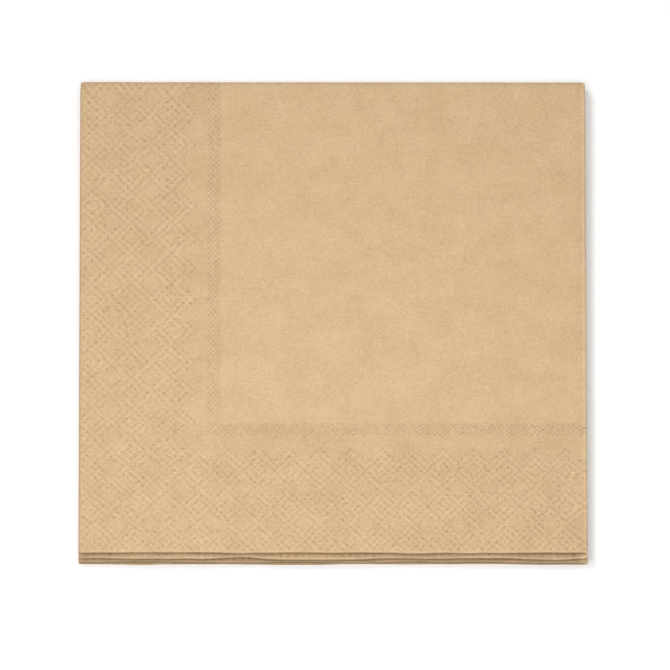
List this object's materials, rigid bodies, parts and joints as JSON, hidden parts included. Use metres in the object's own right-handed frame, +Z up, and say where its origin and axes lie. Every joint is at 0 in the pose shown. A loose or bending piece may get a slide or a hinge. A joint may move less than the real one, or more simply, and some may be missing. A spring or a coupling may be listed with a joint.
{
  "type": "paper napkin",
  "caption": "Square soft paper napkin folded to a quarter, unbleached brown, with an embossed border of dotted diamonds along its open sides.",
  "frame": {"origin": "middle of the folded footprint, on the surface that the napkin lies on", "axes": "+X to the side of the first fold, +Y to the side of the second fold, +Z up through the layers"},
  "size_m": [0.165, 0.165, 0.0065],
  "materials": {
    "paper": "soft matt unbleached tissue, fine crepe, dotted embossing"
  },
  "bodies": {
    "root": {"napkin": "paper"}
  },
  "joints": []
}
